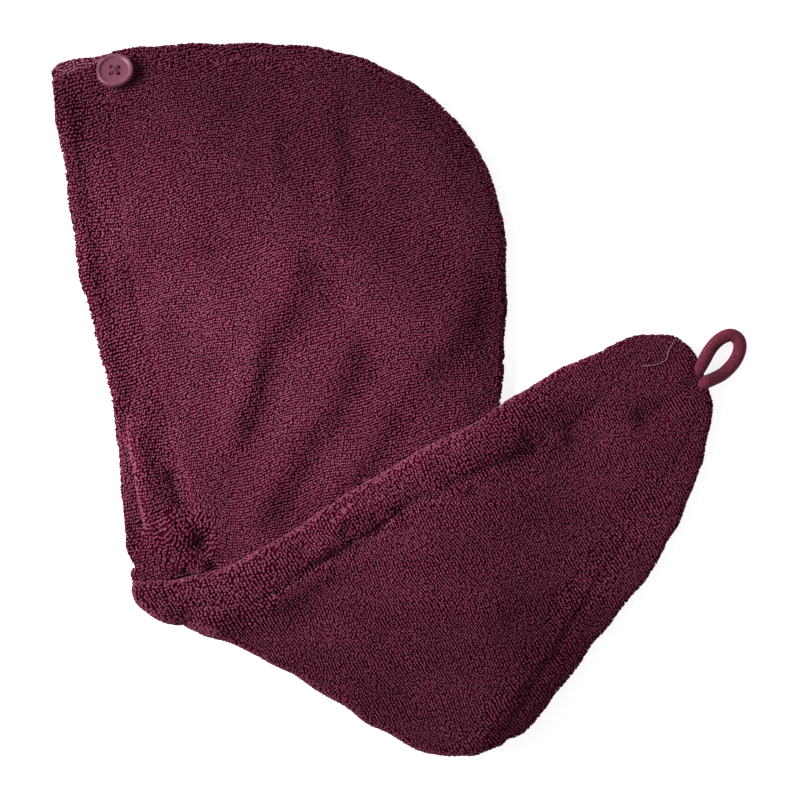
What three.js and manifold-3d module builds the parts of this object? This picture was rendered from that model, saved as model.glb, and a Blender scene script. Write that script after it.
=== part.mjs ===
import * as THREE from 'three';
import { mergeVertices } from 'three/addons/utils/BufferGeometryUtils.js';
import Module from 'manifold-3d';

// A terry hair towel lying on its side: a hood with an open front edge, and a long tail that is
// folded once, up and across the lower part of the hood. Two mirror-image panels of terry are sewn
// together all round, apart from the hood's opening. Millimetres, +Z up, the cloth lies on Z = 0,
// +Y towards the crown, +X towards the tail's tip.

// Cloth and clearances
const CLOTH = 3.0;
const GAP = 0.3;
const SEAM_GAP = 0.5;
const LAYER_GAP = 0.8;
const HEM_CLOTH = 1.4;
const HEM_GAP = 0.85;
const HEM_WIDTH = 26;
const HEM_SETBACK = 1;
const HEM_OPENNESS = 0.97;

// Half heights of the hollow, measured from the sheet that runs midway through the towel
const HOOD_UNDER = 2.6;
const HOOD_UPPER = 7.4;
const TAIL_LOWER = 1.8;
const TAIL_UPPER = 2.8;
const FOLD_INNER = 1.8;
const EDGE_HALF = 1.0;
const EDGE_REACH = CLOTH + EDGE_HALF;

// The towel swells from its sewn edges to its full height over this width
const SWELL_WIDTH = 24;

// Seam: how far it pulls the cloth in, and over what width
const SEAM_PULL = 1.4;
const SEAM_PULL_WIDTH = 8;
const SEAM_PULL_ROLL = 3;
const SEAM_PULL_WRAP = 10;

// The tail's front roll: how much further out it reaches than a flat edge, as a share of its height,
// where its crest lies between the edge and the seam, and how full its round section is
const ROLL_REACH = 0.6;
const ROLL_CREST = 0.4;
const ROLL_ROUNDNESS = 0.7;

// Fold: how far it reaches beyond the midway sheet's bend centre, and over what width the hood
// comes down to it
const FOLD_REACH = 7;
const FOLD_SWELL = 30;
const FOLD_ROWS = 8;

// Heights of the midway sheet
const HOOD_HEIGHT = CLOTH + HOOD_UNDER;
const HOOD_TOP = HOOD_HEIGHT + HOOD_UPPER + CLOTH;
const TAIL_ON_HOOD = HOOD_TOP + LAYER_GAP + CLOTH + TAIL_LOWER;
const TAIL_ON_FLOOR = CLOTH + TAIL_LOWER;

// Where the tail starts to come down from the hood to the floor, and over what width
const DESCENT_START = 44;
const DESCENT_WIDTH = 76;

// Outline of the towel, seen from above, one row for each section from the nape to the fold.
// front and back are the section's ends. open is 1 at the hood's opening and 0 where the front edge
// is sewn. inset is how far the upper panel's hem lies behind the under panel's. backWrap is how far
// the upper panel reaches round the back edge onto the other side (less than 0: the under panel
// reaches round onto the upper side).
const named = (columns) => (row) => Object.fromEntries(columns.map((name, i) => [name, row[i]]));
const HOOD_SECTIONS = [
  [-183, 183, -178, 188, 1, 0, -1],
  [-180, 165, -161, 191.5, 1, 0, -3],
  [-175.5, 139, -128, 197, 1, 0, -8],
  [-172, 114, -86, 198.2, 1, 0, -6.5],
  [-168.5, 84, -36, 196.8, 1, 0, -3.5],
  [-164, 60, 2, 185.2, 1, 0, -5],
  [-158, 38, 36.6, 162.4, 1, 0, -4],
  [-153, 18, 59.2, 129, 1, 0, -3],
  [-149, -1, 68.6, 92, 1, 0, -3],
  [-148, -20, 68.5, 45, 1, 4.5, -2],
  [-146, -39, 66, 0, 1, 8.5, -1],
  [-144, -58, 64, -50, 1, 10.5, 0],
  [-143.5, -75, 63, -100, 1, 12, 0],
  [-141.5, -90, 63, -144, 0.2, 8, 0],
].map(named(['frontX', 'frontY', 'backX', 'backY', 'open', 'inset', 'backWrap']));

// The straight line that the fold follows, how far its two corners are rounded in along it, and how
// far the fold bows out beyond the line, in even steps along it
const FOLD_LINE = { frontX: -141, frontY: -110.5, backX: 63.5, backY: -200.5 };
const FOLD_CORNER = { front: 6, back: 12 };
const FOLD_BOW = [0.5, 0, -2, -2.6, -2, 0, 3.4, 6.5, 8.2, 8.0, -2.5].map((out) => ({ out }));

// Outline of the tail, one row for each section from the fold to the tip. frontWrap and backWrap are
// how far the lower panel reaches round each edge onto the tail's upper side, where it is sewn to
// the other panel. roll is the height that the front edge swells to, above its half height.
const TAIL_SECTIONS = [
  [-107, -98, 78, -184, 33, 10, 4],
  [-79, -89, 93, -166, 30, 16, 4.6],
  [-46, -70, 113, -142, 26, 19, 5],
  [-12, -47, 133, -116, 27, 21, 5],
  [21, -28, 149, -96, 28, 22, 4.8],
  [54, -11, 161, -75, 31, 21, 3.8],
  [85, 10, 171, -54, 32, 19, 1.4],
  [113, 23, 178, -33, 22, 14, 0.4],
  [135, 34, 183, -12, 10, 8, 0],
  [159, 37, 183, -3, 3, 3, 0],
  [168, 32, 182, 2, 0, 1, 0],
  [175, 24, 181, 7, 0, 0, 0],
].map(named(['frontX', 'frontY', 'backX', 'backY', 'frontWrap', 'backWrap', 'roll']));

// Where the fold's front corner leaves the hood and where it reaches the tail, with the wraps there
const FOLD_START = { frontX: -138.5, frontY: -99.4, frontWrap: 20 };
const FOLD_END = { frontX: -136.2, frontY: -99.7, frontWrap: 34, backWrap: 4, roll: 3.4 };

// Soft waves of the hood's upper side: middle, half length, half width, direction in degrees from
// +X, height (less than 0: a dent)
const HOOD_WAVES = [
  [-84, 36, 62, 11, 57, 1.5],
  [-68, 24, 44, 9, 66, -1.6],
  [-70, -10, 50, 10, 56, 1.7],
  [-36, 10, 52, 12, 60, -1.6],
  [-120, 80, 26, 22, 20, -0.8],
  [-118, -40, 26, 13, 82, -1.0],
  [-112, -64, 14, 13, 20, 2.6],
  [-101, -84, 16, 9, 110, -3.0],
  [48, 66, 60, 18, 85, -1.4],
].map(named(['x', 'y', 'length', 'width', 'direction', 'height']));

// Soft waves of the tail's upper side
const TAIL_WAVES = [
  [104, -18, 26, 12, 20, -2.2],
  [146, 2, 22, 12, 25, -2.0],
  [-62, -122, 34, 9, 24, -1.6],
  [150, -62, 44, 9, 62, -1.4],
].map(named(['x', 'y', 'length', 'width', 'direction', 'height']));

// Button, its dish and its holes
const BUTTON_DIAMETER = 20;
const BUTTON_THICKNESS = 3.2;
const BUTTON_RIM = 2.0;
const BUTTON_DISH_DEPTH = 0.9;
const BUTTON_HOLE_DIAMETER = 2.1;
const BUTTON_HOLE_SPACING = 3.9;
const BUTTON_BACK_RADIUS = 7.2;
const BUTTON_LIP = { width: 0.5, rise: 0.85 };
const BUTTON_DISH_SLOPE = 0.4;
const BUTTON_CENTRE = new THREE.Vector3(-146.6, 181.2, 18.4);
const BUTTON_LEAN = THREE.MathUtils.degToRad(-20);
const THREAD = 0.9;
const SHANK_DIAMETER = 5;
const SHANK_LENGTH = 0.3;

// Rounding of the button's side: distance in from its edge, and share of half its thickness
const BUTTON_SIDE = [[0.5, -0.35], [0, 0.1], [0.15, 0.75], [0.75, 1]];

// Hanging loop
const LOOP_DIAMETER = 7.4;
const LOOP_SIDES = 10;
const LOOP_STEPS = 26;
const LOOP_ROUTE = [
  [177.6, 19.1, 4.8],
  [179.5, 20.0, 4.8],
  [181.2, 23.4, 4.8],
  [183.7, 28.2, 4.6],
  [187.4, 33.2, 4.3],
  [191.8, 36.2, 4.0],
  [196.4, 35.9, 3.9],
  [199.4, 32.4, 3.9],
  [199.4, 27.4, 3.9],
  [197.0, 22.2, 4.0],
  [192.0, 17.0, 4.1],
  [186.4, 13.2, 4.5],
  [182.6, 12.3, 4.8],
  [180.3, 11.5, 4.8],
];

// Shift that centres the towel
const CENTRING = new THREE.Vector3(0, -1.7, 0);

// Grids
const HOOD_ROWS = 23;
const TAIL_ROWS = 21;
const PANEL_COLUMNS = 20;
const HEM_COLUMNS = 3;
const SHEET_STEPS = 60;
const ARC_STEPS = 6;
const COLUMN_LENGTH = 14;
const COLUMN_TURN = THREE.MathUtils.degToRad(38);
const BUTTON_FACETS = 40;
const HOLE_FACETS = 14;
const SHANK_FACETS = 16;
const THREAD_FACETS = 8;
const THREAD_BEND_FACETS = 10;
const THREAD_BEND_RINGS = 6;
const TINY = 1e-6;
const WELD = 1e-4;

const mix = THREE.MathUtils.lerp;
const eased = (x) => THREE.MathUtils.smoothstep(x, 0, 1);

// One column of a table read at a place between its rows, along a smooth curve
function readColumn(table, name, place) {
  const last = table.length - 1;
  const at = THREE.MathUtils.clamp(place * last, 0, last);
  const row = Math.min(Math.floor(at), last - 1);
  const t = at - row;
  const value = (i) => {
    if (i < 0) return 2 * table[0][name] - table[1][name];
    if (i > last) return 2 * table[last][name] - table[last - 1][name];
    return table[i][name];
  };
  const [a, b, c, d] = [value(row - 1), value(row), value(row + 1), value(row + 2)];
  const slopeIn = (c - a) / 2;
  const slopeOut = (d - b) / 2;
  const square = t * t;
  const cube = square * t;
  return (2 * cube - 3 * square + 1) * b + (cube - 2 * square + t) * slopeIn
    + (3 * square - 2 * cube) * c + (cube - square) * slopeOut;
}

function readSection(table, place) {
  return Object.fromEntries(Object.keys(table[0]).map((name) => [name, readColumn(table, name, place)]));
}

// Height that a table of waves adds at a place
function waveHeight(waves, x, y) {
  let sum = 0;
  for (const wave of waves) {
    const turn = THREE.MathUtils.degToRad(wave.direction);
    const along = ((x - wave.x) * Math.cos(turn) + (y - wave.y) * Math.sin(turn)) / wave.length;
    const across = ((y - wave.y) * Math.cos(turn) - (x - wave.x) * Math.sin(turn)) / wave.width;
    sum += wave.height * Math.exp(-along * along - across * across);
  }
  return sum;
}

// Direction in which the fold points, square to the fold line
const foldAlong = new THREE.Vector3(
  FOLD_LINE.backX - FOLD_LINE.frontX, FOLD_LINE.backY - FOLD_LINE.frontY, 0).normalize();
const foldOut = new THREE.Vector3(foldAlong.y, -foldAlong.x, 0);
const foldBow = (u) => readColumn(FOLD_BOW, 'out', u);

// Distance of a place from the fold's outermost line, inwards
function fromFold(x, y) {
  const offset = new THREE.Vector3(x - FOLD_LINE.frontX, y - FOLD_LINE.frontY, 0);
  return -offset.dot(foldOut);
}

// The tail's midway sheet lies on the hood, and comes down to the floor behind the hood's back edge
function tailHeight(x) {
  const descent = eased((x - DESCENT_START) / DESCENT_WIDTH);
  return mix(TAIL_ON_HOOD, TAIL_ON_FLOOR, descent);
}

// Sections of the midway sheet. Each holds its points and how the towel is closed and swollen there.
function makeSections() {
  const sections = [];
  const foldInset = FOLD_INNER + CLOTH + FOLD_REACH;
  const foldStart = {
    ...HOOD_SECTIONS.at(-1),
    open: 0,
    inset: 0,
    backX: FOLD_LINE.backX - foldOut.x * foldInset,
    backY: FOLD_LINE.backY - foldOut.y * foldInset,
    bow: 1,
    ...FOLD_START,
  };
  const hoodTable = [...HOOD_SECTIONS, foldStart].map((row) => ({ bow: 0, frontWrap: 0, roll: 0, ...row }));
  const foldEnd = { ...foldStart, ...FOLD_END };
  const tailTable = [foldEnd, ...TAIL_SECTIONS].map((row) => ({ bow: 0, open: 0, inset: 0, ...row }));
  const addSection = (read, turn, part) => {
    const row = {
      ...read,
      open: THREE.MathUtils.clamp(read.open, 0, 1),
      inset: Math.max(read.inset, 0),
      frontWrap: Math.max(read.frontWrap, 0),
    };
    const reach = mix(EDGE_REACH + ROLL_REACH * row.roll, 0, row.open);
    const front = new THREE.Vector3(row.frontX, row.frontY, 0);
    const back = new THREE.Vector3(row.backX, row.backY, 0);
    const across = back.clone().sub(front).normalize();
    const rounding = Math.sin(turn) ** 2;
    front.addScaledVector(across, reach + FOLD_CORNER.front * rounding);
    back.addScaledVector(across, -EDGE_REACH - FOLD_CORNER.back * rounding);
    const lift = (1 - Math.cos(turn)) / 2;
    const points = Array.from({ length: SHEET_STEPS + 1 }, (_, i) => {
      const point = front.clone().lerp(back, i / SHEET_STEPS);
      const outwards = foldBow(i / SHEET_STEPS) * row.bow + FOLD_REACH * Math.sin(turn);
      point.addScaledVector(foldOut, outwards);
      point.z = mix(HOOD_HEIGHT, tailHeight(point.x), lift);
      return point;
    });
    sections.push({ ...row, reach, points, part, lift });
  };
  for (let i = 0; i < HOOD_ROWS; i += 1) {
    addSection(readSection(hoodTable, i / HOOD_ROWS), 0, 'hood');
  }
  for (let i = 0; i <= FOLD_ROWS; i += 1) {
    const share = i / FOLD_ROWS;
    const row = Object.fromEntries(Object.keys(hoodTable[0]).map(
      (name) => [name, mix(hoodTable.at(-1)[name], tailTable[0][name], eased(share))]));
    addSection(row, Math.PI * share, 'fold');
  }
  for (let i = 1; i <= TAIL_ROWS; i += 1) {
    addSection(readSection(tailTable, i / TAIL_ROWS), Math.PI, 'tail');
  }
  return sections;
}

// Normals of the midway sheet, on the upper panel's side
function addNormals(sections) {
  sections.forEach((section, k) => {
    const before = sections[Math.max(k - 1, 0)];
    const after = sections[Math.min(k + 1, sections.length - 1)];
    section.normals = section.points.map((point, i) => {
      const across = section.points[Math.min(i + 1, SHEET_STEPS)].clone()
        .sub(section.points[Math.max(i - 1, 0)]);
      const along = after.points[i].clone().sub(before.points[i]);
      return along.cross(across).normalize();
    });
  });
}

// Height of the front roll at a distance from the tail's front edge: a round ridge that ends in the
// crease where the panels are sewn, and behind it the hollow that the seam pulls in
function rollHeight(section, place) {
  const { roll, frontWrap } = section;
  if (roll <= 0 || frontWrap <= 0) return 0;
  const crest = ROLL_CREST * frontWrap;
  const across = (place - crest) / (place < crest ? crest : frontWrap - crest);
  if (across < 1) return roll * Math.max(1 - across * across, 0) ** ROLL_ROUNDNESS;
  return -SEAM_PULL * Math.min(1, roll / SEAM_PULL_ROLL) * Math.exp(-(place - frontWrap) / SEAM_PULL_WIDTH);
}

// Half height of the hollow on the upper panel's side, and on the under panel's
function halfHeights(section, u, point) {
  const { length, lift } = section;
  const frontSwell = Math.max(eased(u * length / SWELL_WIDTH), section.open);
  const backSwell = eased((1 - u) * length / SWELL_WIDTH);
  const swell = Math.sin(Math.PI / 2 * frontSwell * backSwell);
  const place = u * length + section.reach;
  const nearFold = eased((fromFold(point.x, point.y) - FOLD_REACH - CLOTH - FOLD_INNER) / FOLD_SWELL);
  const hoodUpper = mix(FOLD_INNER, HOOD_UPPER + waveHeight(HOOD_WAVES, point.x, point.y), nearFold);
  const upper = section.part === 'hood' ? hoodUpper : mix(FOLD_INNER, TAIL_LOWER, lift);
  const backPlace = (1 - u) * length + EDGE_REACH;
  const backPull = SEAM_PULL * Math.min(1, Math.max(0, section.backWrap) / SEAM_PULL_WRAP)
    * Math.exp(-(((backPlace - section.backWrap) / SEAM_PULL_WIDTH) ** 2));
  const tailUpper = TAIL_UPPER + waveHeight(TAIL_WAVES, point.x, point.y) - backPull;
  const under = mix(HOOD_UNDER, tailUpper, lift);
  return {
    upper: mix(EDGE_HALF, upper, swell),
    under: Math.max(mix(EDGE_HALF, under, swell) + lift * rollHeight(section, place), EDGE_HALF / 2),
  };
}

// The closed outline of each section, outer and inner points all the way round. It starts on the
// under panel's side, goes round the front edge, over the upper panel's side, round the back edge
// and over the under panel's side to the front edge again.
function addOutline(section) {
  const last = SHEET_STEPS;
  section.length = section.points[0].distanceTo(section.points[last]);
  const halves = section.points.map((point, i) => halfHeights(section, i / last, point));
  const rings = [];
  const addPoint = (i, side) => {
    const half = side > 0 ? halves[i].upper : halves[i].under;
    const at = (offset) => section.points[i].clone().addScaledVector(section.normals[i], side * offset);
    rings.push({ outer: at(half + CLOTH), inner: at(half) });
  };
  const addArc = (i, next, reach, from, to) => {
    const outward = section.points[i].clone().sub(section.points[next]).normalize();
    const steps = Math.round(Math.abs(to - from) / (Math.PI / 2) * ARC_STEPS);
    for (let step = 1; step < steps; step += 1) {
      const angle = mix(from, to, step / steps);
      const half = angle > 0 ? halves[i].upper : halves[i].under;
      const at = (grow) => section.points[i].clone()
        .addScaledVector(outward, Math.max(reach - CLOTH + grow, 0) * Math.cos(angle))
        .addScaledVector(section.normals[i], (half + grow) * Math.sin(angle));
      rings.push({ outer: at(CLOTH), inner: at(0) });
    }
  };
  for (let i = last / 2; i >= 0; i -= 1) addPoint(i, -1);
  section.frontUnder = rings.length - 1;
  addArc(0, 1, section.reach, -Math.PI / 2, Math.PI / 2);
  section.frontUpper = rings.length;
  for (let i = 0; i <= last; i += 1) addPoint(i, 1);
  section.backUpper = rings.length - 1;
  addArc(last, last - 1, EDGE_REACH, Math.PI / 2, -Math.PI / 2);
  section.backUnder = rings.length;
  for (let i = last; i >= 0; i -= 1) addPoint(i, -1);
  section.frontEnd = rings.length - 1;
  addArc(0, 1, section.reach, -Math.PI / 2, 0);
  section.rings = rings;
}

// Running length round the outline, from the first front edge on, and running count of grid columns
function addMeasures(section) {
  const middle = section.rings.map((ring) => ring.outer.clone().add(ring.inner).multiplyScalar(0.5));
  let length = 0;
  let count = 0;
  section.lengths = [];
  section.counts = [];
  middle.forEach((point, i) => {
    if (i > 0) {
      const step = point.clone().sub(middle[i - 1]);
      length += step.length();
      count += step.length() / COLUMN_LENGTH;
      const next = middle[i + 1] ? middle[i + 1].clone().sub(point) : step;
      if (step.length() > TINY && next.length() > TINY) count += step.angleTo(next) / COLUMN_TURN;
    }
    section.lengths.push(length);
    section.counts.push(count);
  });
  const apex = section.lengths[section.frontUnder + ARC_STEPS];
  section.lengths = section.lengths.map((value) => value - apex);
}

// Place of a value in a rising list, as an index with its fraction
function placeIn(values, value) {
  let i = 1;
  while (i < values.length - 1 && values[i] < value) i += 1;
  const span = Math.max(values[i] - values[i - 1], TINY);
  return i - 1 + THREE.MathUtils.clamp((value - values[i - 1]) / span, 0, 1);
}

function valueAt(values, place) {
  const i = Math.min(Math.floor(place), values.length - 2);
  return mix(values[i], values[i + 1], place - i);
}

// Running length of a seam that lies a distance in from an edge of the outline, seen from above.
// edge and flat are the ring numbers of the edge's apex and of the flat side's first point.
function seamLength(section, distance, reach, apex, flat) {
  const near = Math.min(distance / reach, 1);
  const arc = mix(section.lengths[apex], section.lengths[flat], near);
  const steps = Math.max(distance - reach, 0) / section.length * SHEET_STEPS;
  const further = valueAt(section.lengths, flat + Math.sign(flat - apex) * steps);
  return distance > reach ? further : arc;
}

// Running lengths at which the upper panel starts and ends, and the under panel
function panelEnds(section) {
  const { lengths, open } = section;
  const frontApex = section.frontUnder + ARC_STEPS;
  const backApex = section.backUpper + ARC_STEPS;
  const reach = Math.max(section.reach, TINY);
  const frontSeam = seamLength(section, section.frontWrap, reach, frontApex, section.frontUnder);
  const backFlat = section.backWrap > 0 ? section.backUnder : section.backUpper;
  const backSeam = seamLength(section, Math.abs(section.backWrap), EDGE_REACH, backApex, backFlat);
  const whole = lengths.at(-1);
  return {
    upper: [
      mix(frontSeam + SEAM_GAP / 2, lengths[section.frontUpper] + section.inset, open),
      backSeam - SEAM_GAP / 2,
    ],
    under: [
      backSeam + SEAM_GAP / 2,
      mix(whole + frontSeam - SEAM_GAP / 2, lengths[section.frontEnd], open),
    ],
  };
}

// Points round a section between two lengths, one for each grid column
function panelRow(section, [from, to]) {
  const first = valueAt(section.counts, placeIn(section.lengths, from));
  const final = valueAt(section.counts, placeIn(section.lengths, to));
  return Array.from({ length: PANEL_COLUMNS + 1 }, (_, i) => {
    const place = placeIn(section.counts, mix(first, final, i / PANEL_COLUMNS));
    const ring = Math.min(Math.floor(place), section.rings.length - 2);
    const [a, b] = [section.rings[ring], section.rings[ring + 1]];
    const at = (name) => a[name].clone().lerp(b[name], place - ring);
    return { outer: at('outer'), inner: at('inner') };
  });
}

// A closed shell from a grid of outer and inner points
function shellGeometry(rows) {
  const columns = rows[0].length;
  const positions = [];
  const indices = [];
  const index = (row, column, inner) => 2 * (row * columns + column) + (inner ? 1 : 0);
  for (const row of rows) {
    for (const { outer, inner } of row) positions.push(...outer.toArray(), ...inner.toArray());
  }
  const reach = (a, b) => new THREE.Vector3().fromArray(positions, 3 * a)
    .distanceTo(new THREE.Vector3().fromArray(positions, 3 * b));
  const quad = (a, b, c, d) => {
    if (reach(a, c) <= reach(b, d)) indices.push(a, b, c, a, c, d);
    else indices.push(a, b, d, b, c, d);
  };
  for (let row = 0; row + 1 < rows.length; row += 1) {
    for (let column = 0; column + 1 < columns; column += 1) {
      const corners = [[row, column], [row + 1, column], [row + 1, column + 1], [row, column + 1]];
      quad(...corners.map(([r, c]) => index(r, c, false)));
      quad(...corners.reverse().map(([r, c]) => index(r, c, true)));
    }
    const end = columns - 1;
    quad(index(row, 0), index(row, 0, true), index(row + 1, 0, true), index(row + 1, 0));
    quad(index(row, end), index(row + 1, end), index(row + 1, end, true), index(row, end, true));
  }
  const tip = rows.length - 1;
  for (let column = 0; column + 1 < columns; column += 1) {
    quad(index(0, column), index(0, column + 1), index(0, column + 1, true), index(0, column, true));
    quad(index(tip, column), index(tip, column, true), index(tip, column + 1, true), index(tip, column + 1));
  }
  const geometry = new THREE.BufferGeometry();
  geometry.setAttribute('position', new THREE.Float32BufferAttribute(positions, 3));
  geometry.setIndex(indices);
  geometry.computeVertexNormals();
  return geometry;
}

// A turned hem: a strip of cloth on the inside of a panel, along the opening
function hemGeometry(sections, side) {
  const rows = [];
  for (const section of sections) {
    const inset = (side > 0 ? section.inset : 0) + HEM_SETBACK;
    if (section.part !== 'hood' || section.open < HEM_OPENNESS || section.length < 2 * HEM_WIDTH) continue;
    rows.push(Array.from({ length: HEM_COLUMNS + 1 }, (_, i) => {
      const place = (inset + HEM_WIDTH * i / HEM_COLUMNS) / section.length * SHEET_STEPS;
      const low = Math.floor(place);
      const at = (depth) => {
        const [a, b] = [low, low + 1].map((step) => {
          const halves = halfHeights(section, step / SHEET_STEPS, section.points[step]);
          const half = side > 0 ? halves.upper : halves.under;
          return section.points[step].clone().addScaledVector(section.normals[step], side * (half - depth));
        });
        return a.lerp(b, place - low);
      };
      return { outer: at(HEM_GAP), inner: at(HEM_GAP + HEM_CLOTH) };
    }));
  }
  if (side < 0) rows.forEach((row) => row.reverse());
  return shellGeometry(rows);
}

const wasm = await Module();
wasm.setup();

function solidOf(geometry) {
  const bare = geometry.clone();
  bare.deleteAttribute('normal');
  bare.deleteAttribute('uv');
  const merged = mergeVertices(bare, WELD);
  return new wasm.Manifold(new wasm.Mesh({
    numProp: 3,
    vertProperties: merged.attributes.position.array,
    triVerts: new Uint32Array(merged.index.array),
  }));
}

function geometryOf(solid) {
  const mesh = solid.getMesh();
  const geometry = new THREE.BufferGeometry();
  geometry.setAttribute('position', new THREE.BufferAttribute(mesh.vertProperties, 3));
  geometry.setIndex(new THREE.BufferAttribute(mesh.triVerts, 1));
  geometry.computeVertexNormals();
  return geometry;
}

const holePlaces = [[1, 1], [1, -1], [-1, -1], [-1, 1]].map(
  ([x, y]) => [x * BUTTON_HOLE_SPACING / 2, y * BUTTON_HOLE_SPACING / 2]);

// Four-hole button, its face towards +Z and its middle at the origin
function buttonGeometry() {
  const radius = BUTTON_DIAMETER / 2;
  const half = BUTTON_THICKNESS / 2;
  const dish = radius - BUTTON_RIM;
  const profile = [
    [0, -half], [BUTTON_BACK_RADIUS, -half],
    ...BUTTON_SIDE.map(([inset, rise]) => [radius - inset, half * rise]),
    [dish + BUTTON_LIP.width, half * BUTTON_LIP.rise],
    [dish - BUTTON_DISH_SLOPE, half - BUTTON_DISH_DEPTH], [0, half - BUTTON_DISH_DEPTH],
  ].map(([x, y]) => new THREE.Vector2(x, y));
  const turned = new THREE.LatheGeometry(profile, BUTTON_FACETS).rotateX(Math.PI / 2);
  let button = solidOf(turned);
  for (const [x, y] of holePlaces) {
    const hole = new THREE.CylinderGeometry(
      BUTTON_HOLE_DIAMETER / 2, BUTTON_HOLE_DIAMETER / 2, 2 * BUTTON_THICKNESS, HOLE_FACETS)
      .rotateX(Math.PI / 2).translate(x, y, 0);
    button = button.subtract(solidOf(hole));
  }
  return geometryOf(button);
}

// Thread: one stitch down through each pair of holes, and the wound shank under the button
function threadGeometry() {
  const half = BUTTON_THICKNESS / 2;
  const top = half - BUTTON_DISH_DEPTH + GAP + THREAD / 2;
  const bottom = -half - GAP - SHANK_LENGTH;
  const section = new THREE.Shape().absarc(0, 0, THREAD / 2, 0, 2 * Math.PI);
  let thread = solidOf(new THREE.CylinderGeometry(
    SHANK_DIAMETER / 2, SHANK_DIAMETER / 2, SHANK_LENGTH, SHANK_FACETS)
    .rotateX(Math.PI / 2).translate(0, 0, -half - GAP - SHANK_LENGTH / 2));
  for (const [a, b] of [[0, 2], [1, 3]]) {
    const [x1, y1] = holePlaces[a];
    const [x2, y2] = holePlaces[b];
    const corners = [
      [x1, y1, bottom + GAP], [x1, y1, top], [x2, y2, top], [x2, y2, bottom + GAP],
    ].map((place) => new THREE.Vector3(...place));
    for (let i = 0; i + 1 < corners.length; i += 1) {
      const run = new THREE.LineCurve3(corners[i], corners[i + 1]);
      const stretch = new THREE.ExtrudeGeometry(section, {
        steps: 1, curveSegments: THREAD_FACETS, extrudePath: run,
      });
      thread = thread.add(solidOf(stretch));
    }
    for (const corner of corners.slice(1, -1)) {
      thread = thread.add(solidOf(new THREE.SphereGeometry(THREAD / 2, THREAD_BEND_FACETS, THREAD_BEND_RINGS)
        .translate(corner.x, corner.y, corner.z)));
    }
  }
  return geometryOf(thread);
}

// Elastic loop, a tube along its route
function loopGeometry() {
  const route = new THREE.CatmullRomCurve3(LOOP_ROUTE.map((place) => new THREE.Vector3(...place)));
  const corners = Array.from({ length: LOOP_SIDES }, (_, i) => {
    const angle = 2 * Math.PI * i / LOOP_SIDES;
    return new THREE.Vector2(Math.cos(angle), Math.sin(angle)).multiplyScalar(LOOP_DIAMETER / 2);
  });
  return new THREE.ExtrudeGeometry(new THREE.Shape(corners), { steps: LOOP_STEPS, extrudePath: route });
}

// Materials
const terry = new THREE.MeshStandardMaterial({ color: 0x55243c, roughness: 0.95, metalness: 0 });
const hemCloth = new THREE.MeshStandardMaterial({ color: 0x4e2036, roughness: 0.95, metalness: 0 });
const buttonPlastic = new THREE.MeshStandardMaterial({ color: 0x8a4a66, roughness: 0.3, metalness: 0 });
const threadFinish = new THREE.MeshStandardMaterial({ color: 0x8f5f74, roughness: 0.7, metalness: 0 });
const elastic = new THREE.MeshStandardMaterial({ color: 0x5b1f3f, roughness: 0.8, metalness: 0 });

const sections = makeSections();
addNormals(sections);
sections.forEach(addOutline);
sections.forEach(addMeasures);

const towel = new THREE.Group();
const addPiece = (name, geometry, material, parent = towel) => {
  const mesh = new THREE.Mesh(geometry, material);
  mesh.name = name;
  parent.add(mesh);
};

const panelGeometry = (side) => shellGeometry(
  sections.map((section) => panelRow(section, panelEnds(section)[side])));
addPiece('upper_panel', panelGeometry('upper'), terry);
addPiece('under_panel', panelGeometry('under'), terry);
addPiece('upper_hem', hemGeometry(sections, 1), hemCloth);
addPiece('under_hem', hemGeometry(sections, -1), hemCloth);

const sewnButton = new THREE.Group();
sewnButton.position.copy(BUTTON_CENTRE);
sewnButton.rotation.x = BUTTON_LEAN;
towel.add(sewnButton);
addPiece('button', buttonGeometry(), buttonPlastic, sewnButton);
addPiece('button_thread', threadGeometry(), threadFinish, sewnButton);
addPiece('hanging_loop', loopGeometry(), elastic);

// The towel's box, without the loop, is centred on the origin
towel.children.forEach((piece) => piece.position.add(CENTRING));

export default towel;
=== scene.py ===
import math

import bmesh
import bpy
import numpy as np
from mathutils import Matrix, Vector
from mathutils.bvhtree import BVHTree


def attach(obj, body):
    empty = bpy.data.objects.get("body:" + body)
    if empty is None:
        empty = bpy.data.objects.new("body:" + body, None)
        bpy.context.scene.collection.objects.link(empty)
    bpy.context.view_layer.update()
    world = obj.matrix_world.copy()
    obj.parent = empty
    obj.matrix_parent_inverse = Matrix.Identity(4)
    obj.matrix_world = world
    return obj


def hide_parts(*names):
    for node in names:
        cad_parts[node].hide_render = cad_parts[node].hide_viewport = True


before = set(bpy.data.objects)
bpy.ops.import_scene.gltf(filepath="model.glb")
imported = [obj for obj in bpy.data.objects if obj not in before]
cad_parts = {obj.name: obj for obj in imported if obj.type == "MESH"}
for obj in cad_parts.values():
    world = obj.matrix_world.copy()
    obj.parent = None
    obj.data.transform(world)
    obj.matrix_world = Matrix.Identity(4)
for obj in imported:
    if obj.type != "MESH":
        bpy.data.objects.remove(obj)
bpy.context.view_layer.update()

MM = 0.001
dice = np.random.default_rng(41)

# Camera straight above the towel
CAMERA_HEIGHT = 0.95
CAMERA_X = 0.0100
CAMERA_Y = -0.0014
VIEW_WIDTH = 0.4445
VIEW_LEVEL = 0.008
SENSOR_WIDTH = 36.0

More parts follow.
